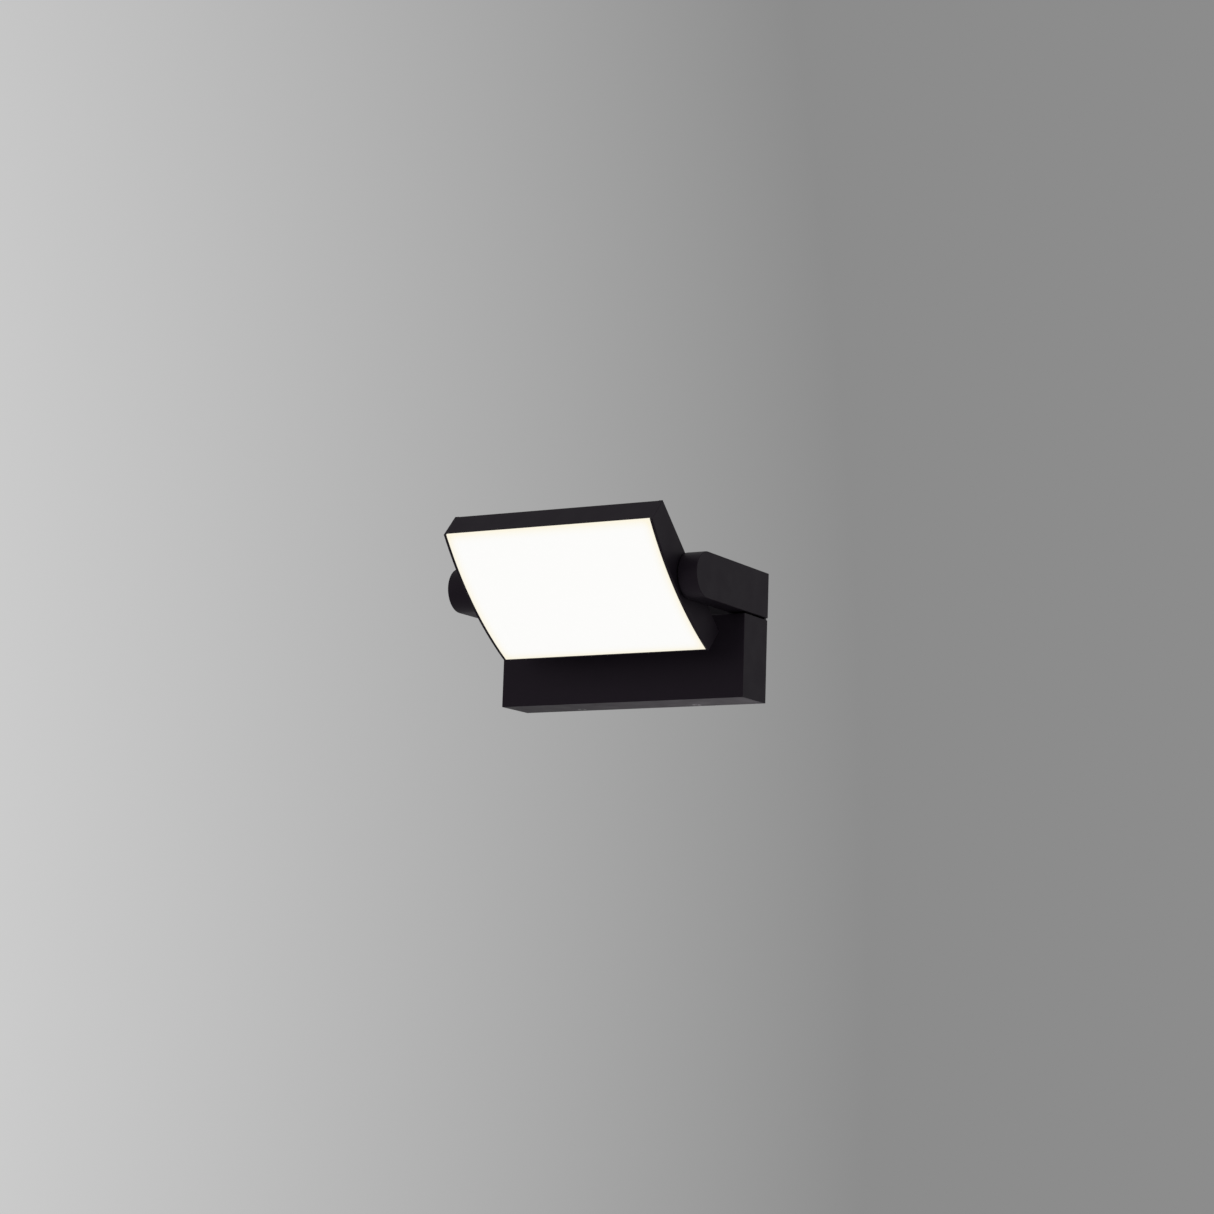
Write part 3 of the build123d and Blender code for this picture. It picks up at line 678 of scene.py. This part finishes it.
class PICTURELIGHT_OT_arms(Operator):
    """Coat both arms, their lids and the round plug in the left nose, and finish the lids' screws"""

    bl_idname = "picture_light.arms"
    bl_label = "Arms"

    def execute(self, context):
        finish = coat_finish(context.scene.picture_light)
        dress(finish, "right_arm", "left_arm", "right_arm_lid", "left_arm_lid", "left_pivot_cover")
        dress(blackened_finish(), "lid_screws")
        return {"FINISHED"}


class PICTURELIGHT_OT_pivots(Operator):
    """Finish the parts of both pivots"""

    bl_idname = "picture_light.pivots"
    bl_label = "Pivots"

    def execute(self, context):
        steel = turned_metal("turned_steel", linear("#8a8c8e"), linear("#c8c9ca"))
        dress(steel, "right_pivot_tube", "left_pivot_stud", "tilt_stop_pin", "spring_washer")
        dress(zinc_finish(), "pivot_nut")
        acetal = moulded_plastic("black_acetal", linear("#1d1c1e"), roughness=0.4)
        dress(acetal, "right_pivot_bush", "left_pivot_bush", "left_thrust_washer")
        dress(pressed_fibre("friction_lining", linear("#4a372a")), "friction_disc")
        return {"FINISHED"}


class PICTURELIGHT_OT_head_shell(Operator):
    """Coat the head's housing and end caps and fit the screws in its back"""

    bl_idname = "picture_light.head_shell"
    bl_label = "Head shell"

    def execute(self, context):
        settings = context.scene.picture_light
        dress(coat_finish(settings), "head_housing", "right_end_cap", "left_end_cap")
        size = settings.cap_screw
        upright = head_place(settings.head)
        low, high = box_in(upright, "end_cap_screws")
        inset = size.head_width * size.diameter / 2
        places = [upright @ facing(place, (0, 1, 0)) for place in corner_places(low, high, inset)]
        finish = blackened_finish()
        screws("end_cap_screw_set", "end_cap_screws", LAMP_HEAD, finish, size, places)
        return {"FINISHED"}


class PICTURELIGHT_OT_diffuser(Operator):
    """Build the bowed opal diffuser with softened edges, and finish its gasket"""

    bl_idname = "picture_light.diffuser"
    bl_label = "Diffuser"

    def execute(self, context):
        settings = context.scene.picture_light
        head = settings.head
        upright = head_place(head)
        low, high = box_in(upright, "diffuser")
        bm = bowed_sheet(low, high, head)
        round_corners(bm, 45, head.diffuser_edge)
        bmesh.ops.transform(bm, matrix=upright, verts=bm.verts)
        finish = lit_opal("lit_opal_acrylic", settings.glow, (low + high) / 2, (high - low) / 2, upright)
        make_piece("opal_diffuser", bm, LAMP_HEAD, "diffuser", [finish])
        dress(silicone("white_silicone_strip", linear("#e6e4de")), "diffuser_gasket")
        return {"FINISHED"}


def bowed_sheet(low, high, head):
    """Sheet with the bow of the upright head's front, cut level at its bottom and its top."""
    shell_low, shell_high = box_in(head_place(head), "right_end_cap")
    centre = Vector((0, shell_low.y + head.bow_radius, (shell_low.z + shell_high.z) / 2))
    half_turn = math.asin((shell_high.z - centre.z) / head.bow_radius)
    bm = bmesh.new()
    ends = [bm.verts.new((x, shell_low.y, centre.z)) for x in (low.x, high.x)]
    line = bm.edges.new(ends)
    bmesh.ops.rotate(bm, verts=ends, cent=centre, matrix=Matrix.Rotation(-half_turn, 3, "X"))
    bmesh.ops.spin(bm, geom=ends + [line], cent=centre, axis=(1, 0, 0), angle=2 * half_turn,
                   steps=head.bow_steps)
    bmesh.ops.recalc_face_normals(bm, faces=bm.faces)
    if bm.faces[:][0].normal.y > 0:
        bmesh.ops.reverse_faces(bm, faces=bm.faces)
    bmesh.ops.solidify(bm, geom=bm.faces[:], thickness=head.diffuser_thickness)
    for level, outward in ((low.z, -1), (high.z, 1)):
        cut = bmesh.ops.bisect_plane(bm, geom=bm.verts[:] + bm.edges[:] + bm.faces[:], dist=MERGE_DISTANCE,
                                     plane_co=(0, 0, level), plane_no=(0, 0, outward), clear_outer=True)
        rim = [item for item in cut["geom_cut"] if isinstance(item, bmesh.types.BMEdge)]
        bmesh.ops.edgeloop_fill(bm, edges=rim)
    bmesh.ops.recalc_face_normals(bm, faces=bm.faces)
    return bm


class PICTURELIGHT_OT_led_board(Operator):
    """Build the LED packages, and finish their board, tray, connector and board screws"""

    bl_idname = "picture_light.led_board"
    bl_label = "LED board"

    def execute(self, context):
        settings = context.scene.picture_light
        upright = head_place(settings.head)
        leds = settings.leds
        low, high = box_in(upright, "led_chips")
        plug_low, plug_high = box_in(upright, "led_connector")
        bm = bmesh.new()
        for column in range(leds.columns):
            for row in range(leds.rows):
                across = (high.x - low.x - leds.package_width) * column / (leds.columns - 1)
                up = (high.z - low.z - leds.package_height) * row / (leds.rows - 1)
                x = low.x + leds.package_width / 2 + across
                z = low.z + leds.package_height / 2 + up
                under_plug = plug_low.x < x < plug_high.x and plug_low.z < z < plug_high.z
                if not under_plug:
                    led_package(bm, leds, Vector((x, low.y, z)), high.y - low.y)
        bmesh.ops.transform(bm, matrix=upright, verts=bm.verts)
        body = moulded_plastic("led_package_white", linear("#efeee9"), roughness=0.35)
        make_piece("led_packages", bm, LAMP_HEAD, "led_chips",
                   [body, phosphor("led_phosphor_gel", leds.phosphor_colour)])
        dress(solder_mask("white_solder_mask", linear("#eeeeec"), copper_pitch=2.5 * MM), "led_board")
        tray_plastic = moulded_plastic("white_reflector_plastic", linear("#f1f1ee"), roughness=0.5)
        dress(tray_plastic, "reflector_tray")
        dress(moulded_plastic("connector_nylon", linear("#e9e4d4")), "led_connector")
        dress(zinc_finish(), "board_screws")
        return {"FINISHED"}


def led_package(bm, leds, place, thickness):
    """One LED package: a white frame round a shallow well of phosphor, facing -Y."""
    size = Matrix.Diagonal((leds.package_width, thickness, leds.package_height, 1))
    where = Matrix.Translation(place + Vector((0, thickness / 2, 0))) @ size
    made = bmesh.ops.create_cube(bm, size=1, matrix=where)["verts"]
    faces = {face for vertex in made for face in vertex.link_faces}
    front = min(faces, key=lambda face: face.calc_center_median().y)
    bmesh.ops.inset_individual(bm, faces=[front], thickness=leds.wall, depth=0)
    bmesh.ops.inset_individual(bm, faces=[front], thickness=leds.wall / 3, depth=-thickness / 4)
    front.material_index = 1


class PICTURELIGHT_OT_driver(Operator):
    """Finish the driver, the terminal block, their screws and the leads"""

    bl_idname = "picture_light.driver"
    bl_label = "Driver and wiring"

    def execute(self, context):
        dress(moulded_plastic("driver_case_plastic", linear("#d8d7d2"), roughness=0.5), "led_driver")
        dress(moulded_plastic("terminal_nylon", linear("#dcdad0")), "terminal_block")
        dress(turned_metal("brass", linear("#a9853f"), linear("#d6b566")), "earth_screw", "terminal_screws")
        dress(zinc_finish(), "driver_screws")
        sleeve = moulded_plastic("white_lead_sleeve", linear("#e4e2dc"), roughness=0.4)
        dress(sleeve, "output_lead", "head_lead")
        dress(moulded_plastic("brown_lead_sleeve", linear("#5a3a26"), roughness=0.4), "input_leads")
        return {"FINISHED"}


class PICTURELIGHT_OT_grommets(Operator):
    """Build the two rubber grommets with rounded lips"""

    bl_idname = "picture_light.grommets"
    bl_label = "Grommets"

    def execute(self, context):
        size = context.scene.picture_light.grommets
        finish = rubber("black_rubber", linear("#161617"))
        low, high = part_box("entry_grommet")
        length = high.y - low.y
        entry = [(size.cable_radius, 0, length), (size.entry_radius, 0, length),
                 ((high.x - low.x) / 2, length - size.entry_lip, length)]
        place = facing(((low.x + high.x) / 2, high.y, (low.z + high.z) / 2), (0, -1, 0))
        grommet("entry_grommet_rubber", "entry_grommet", finish, size, entry, place)
        low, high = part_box("lead_grommet")
        cover_low, cover_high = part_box("box_cover")
        arm_low, arm_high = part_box("right_arm")
        outer = (high.x - low.x) / 2
        inside = cover_high.z - size.box_wall
        lead = [(size.lead_radius, low.z, high.z), (size.sleeve_radius, low.z, high.z),
                (outer, low.z, inside), (outer, cover_high.z, arm_low.z)]
        lead = [(radius, start - low.z, end - low.z) for radius, start, end in lead]
        place = Matrix.Translation(((low.x + high.x) / 2, (low.y + high.y) / 2, low.z))
        grommet("lead_grommet_rubber", "lead_grommet", finish, size, lead, place)
        return {"FINISHED"}


def grommet(name, node, finish, size, rings, place):
    """Rubber sleeve about a place's Z axis: bore, tube and lips, each as radius, start and end."""
    bore, tube, *lips = rings
    outline = [(bore[0], bore[1]), (bore[0], bore[2])]
    level = bore[2]
    for radius, start, end in reversed(lips):
        if end < level:
            outline.append((tube[0], level))
            outline.append((tube[0], end))
        outline += [(radius, end), (radius, start)]
        level = start
    if level > tube[1]:
        outline += [(tube[0], level), (tube[0], tube[1])]
    outline.append(outline[0])
    bm = bmesh.new()
    lathe(bm, outline, size.sides)
    bmesh.ops.recalc_face_normals(bm, faces=bm.faces)
    round_corners(bm, 60, size.edge_radius)
    bmesh.ops.transform(bm, matrix=place, verts=bm.verts)
    make_piece(name, bm, WALL_UNIT, node, [finish])


# Name, azimuth and elevation in degrees, distance and width in metres, and power in watts
SOFTBOXES = [
    ("overhead_softbox", 20, 62, 2.2, 1.0, 2.0),
    ("left_softbox", -75, 8, 1.2, 0.6, 0.9),
    ("rear_softbox", 195, -9, 2.6, 1.2, 2.2),
]


class PICTURELIGHT_OT_stage(Operator):
    """Set up the floor, the room light, the softboxes and the camera"""

    bl_idname = "picture_light.stage"
    bl_label = "Stage"

    def execute(self, context):
        stage = context.scene.picture_light.stage
        add_floor(stage)
        light_room(context.scene, stage)
        for name, azimuth, elevation, distance, width, power in SOFTBOXES:
            add_softbox(stage, name, azimuth, elevation, distance, width, power)
        add_camera(context.scene, stage)
        context.scene.view_settings.view_transform = "Standard"
        return {"FINISHED"}


def look_direction(azimuth, elevation):
    """Unit vector from the light towards a stand at an azimuth and elevation."""
    flat = math.cos(elevation)
    return Vector((math.sin(azimuth) * flat, -math.cos(azimuth) * flat, math.sin(elevation)))


def add_floor(stage):
    """Round pale floor, well below the light."""
    bm = bmesh.new()
    bmesh.ops.create_circle(bm, cap_ends=True, segments=96, radius=stage.floor_radius,
                            matrix=Matrix.Translation((0, 0, -stage.floor_drop)))
    mesh = bpy.data.meshes.new("floor")
    bm.to_mesh(mesh)
    bm.free()
    floor = bpy.data.objects.new("floor", mesh)
    bpy.context.scene.collection.objects.link(floor)
    material, tree, shader, place = new_finish("matt_floor_paint")
    cloud = grain(tree, place, size=500 * MM)
    paint(tree, shader, cloud, shade(stage.floor_colour, 0.97), stage.floor_colour)
    dull(tree, shader, cloud, low=0.75, high=0.85)
    mesh.materials.append(material)


def light_room(scene, stage):
    """Dim even room that lights the coat softly, in front of a backdrop that darkens to the right."""
    world = bpy.data.worlds.new("studio_room")
    scene.world = world
    world.use_nodes = True
    tree = world.node_tree
    tree.nodes.clear()
    direction = add(tree, "ShaderNodeTexCoord").outputs["Generated"]
    across = add(tree, "ShaderNodeSeparateXYZ", sockets={0: direction}).outputs["X"]
    left_end = -0.68
    right_end = -0.42
    share = between(tree, across, low=0.0, high=1.0, start=left_end, end=right_end)
    grey = blend_colours(tree, share, stage.backdrop_left, stage.backdrop_right)
    lit = add(tree, "ShaderNodeBackground", sockets={"Color": (1, 1, 1, 1), "Strength": stage.room_light})
    seen = add(tree, "ShaderNodeBackground", sockets={"Color": grey, "Strength": 1.0})
    camera_ray = add(tree, "ShaderNodeLightPath").outputs["Is Camera Ray"]
    both = add(tree, "ShaderNodeMixShader", sockets={0: camera_ray, 1: lit.outputs[0], 2: seen.outputs[0]})
    add(tree, "ShaderNodeOutputWorld", sockets={"Surface": both.outputs[0]})


def add_softbox(stage, name, azimuth, elevation, distance, width, power):
    """Square softbox that faces the light."""
    lamp = bpy.data.lights.new(name, "AREA")
    lamp.shape = "SQUARE"
    lamp.size = width
    lamp.energy = power
    lamp.color = stage.softbox_colour
    box = bpy.data.objects.new(name, lamp)
    bpy.context.scene.collection.objects.link(box)
    direction = look_direction(math.radians(azimuth), math.radians(elevation))
    box.location = Vector(stage.aim) + direction * distance
    box.rotation_euler = direction.to_track_quat("Z", "Y").to_euler()
    box.visible_camera = False


def add_camera(scene, stage):
    """Camera with a long lens, a little below the light and to its right."""
    lens = bpy.data.cameras.new("camera")
    lens.lens = stage.lens
    lens.sensor_width = SENSOR_WIDTH
    camera = bpy.data.objects.new("camera", lens)
    scene.collection.objects.link(camera)
    direction = look_direction(stage.azimuth, stage.elevation)
    turned = direction.to_track_quat("Z", "Y").to_matrix().to_4x4() @ Matrix.Rotation(stage.roll, 4, "Z")
    camera.matrix_world = Matrix.Translation(Vector(stage.aim) + direction * stage.distance) @ turned
    scene.camera = camera


OPERATORS = [
    PICTURELIGHT_OT_stage,
    PICTURELIGHT_OT_wall_plate,
    PICTURELIGHT_OT_box_cover,
    PICTURELIGHT_OT_arms,
    PICTURELIGHT_OT_pivots,
    PICTURELIGHT_OT_head_shell,
    PICTURELIGHT_OT_diffuser,
    PICTURELIGHT_OT_led_board,
    PICTURELIGHT_OT_driver,
    PICTURELIGHT_OT_grommets,
]


class PICTURELIGHT_PT_panel(Panel):
    """The picture light's steps and settings"""

    bl_idname = "PICTURELIGHT_PT_panel"
    bl_label = "Picture light"
    bl_space_type = "VIEW_3D"
    bl_region_type = "UI"
    bl_category = "Picture light"

    def draw(self, context):
        settings = context.scene.picture_light
        for operator in OPERATORS:
            self.layout.operator(operator.bl_idname)
        groups = (settings.coat, settings.cover_screw, settings.cap_screw, settings.arm_screw,
                  settings.head, settings.grommets, settings.glow, settings.leds, settings.stage)
        for group in groups:
            box = self.layout.box()
            for name in group.bl_rna.properties.keys():
                if name not in ("rna_type", "name"):
                    box.prop(group, name)


CLASSES = [
    CoatSettings,
    ScrewSettings,
    HeadSettings,
    GrommetSettings,
    GlowSettings,
    LedSettings,
    StageSettings,
    PictureLightSettings,
    *OPERATORS,
    PICTURELIGHT_PT_panel,
]


def register():
    """Register the settings, the operators and the panel."""
    for each in CLASSES:
        bpy.utils.register_class(each)
    bpy.types.Scene.picture_light = PointerProperty(type=PictureLightSettings)


def unregister():
    """Take everything away again."""
    del bpy.types.Scene.picture_light
    for each in reversed(CLASSES):
        bpy.utils.unregister_class(each)


def main():
    """Build everything in order."""
    register()
    settings = bpy.context.scene.picture_light
    settings.arm_screw.length = 12 * MM
    settings.cap_screw.diameter = 3 * MM
    settings.cap_screw.length = 7.5 * MM
    for operator in OPERATORS:
        step = operator.bl_idname.split(".")[1]
        getattr(bpy.ops.picture_light, step)()


if __name__ == "__main__":
    main()
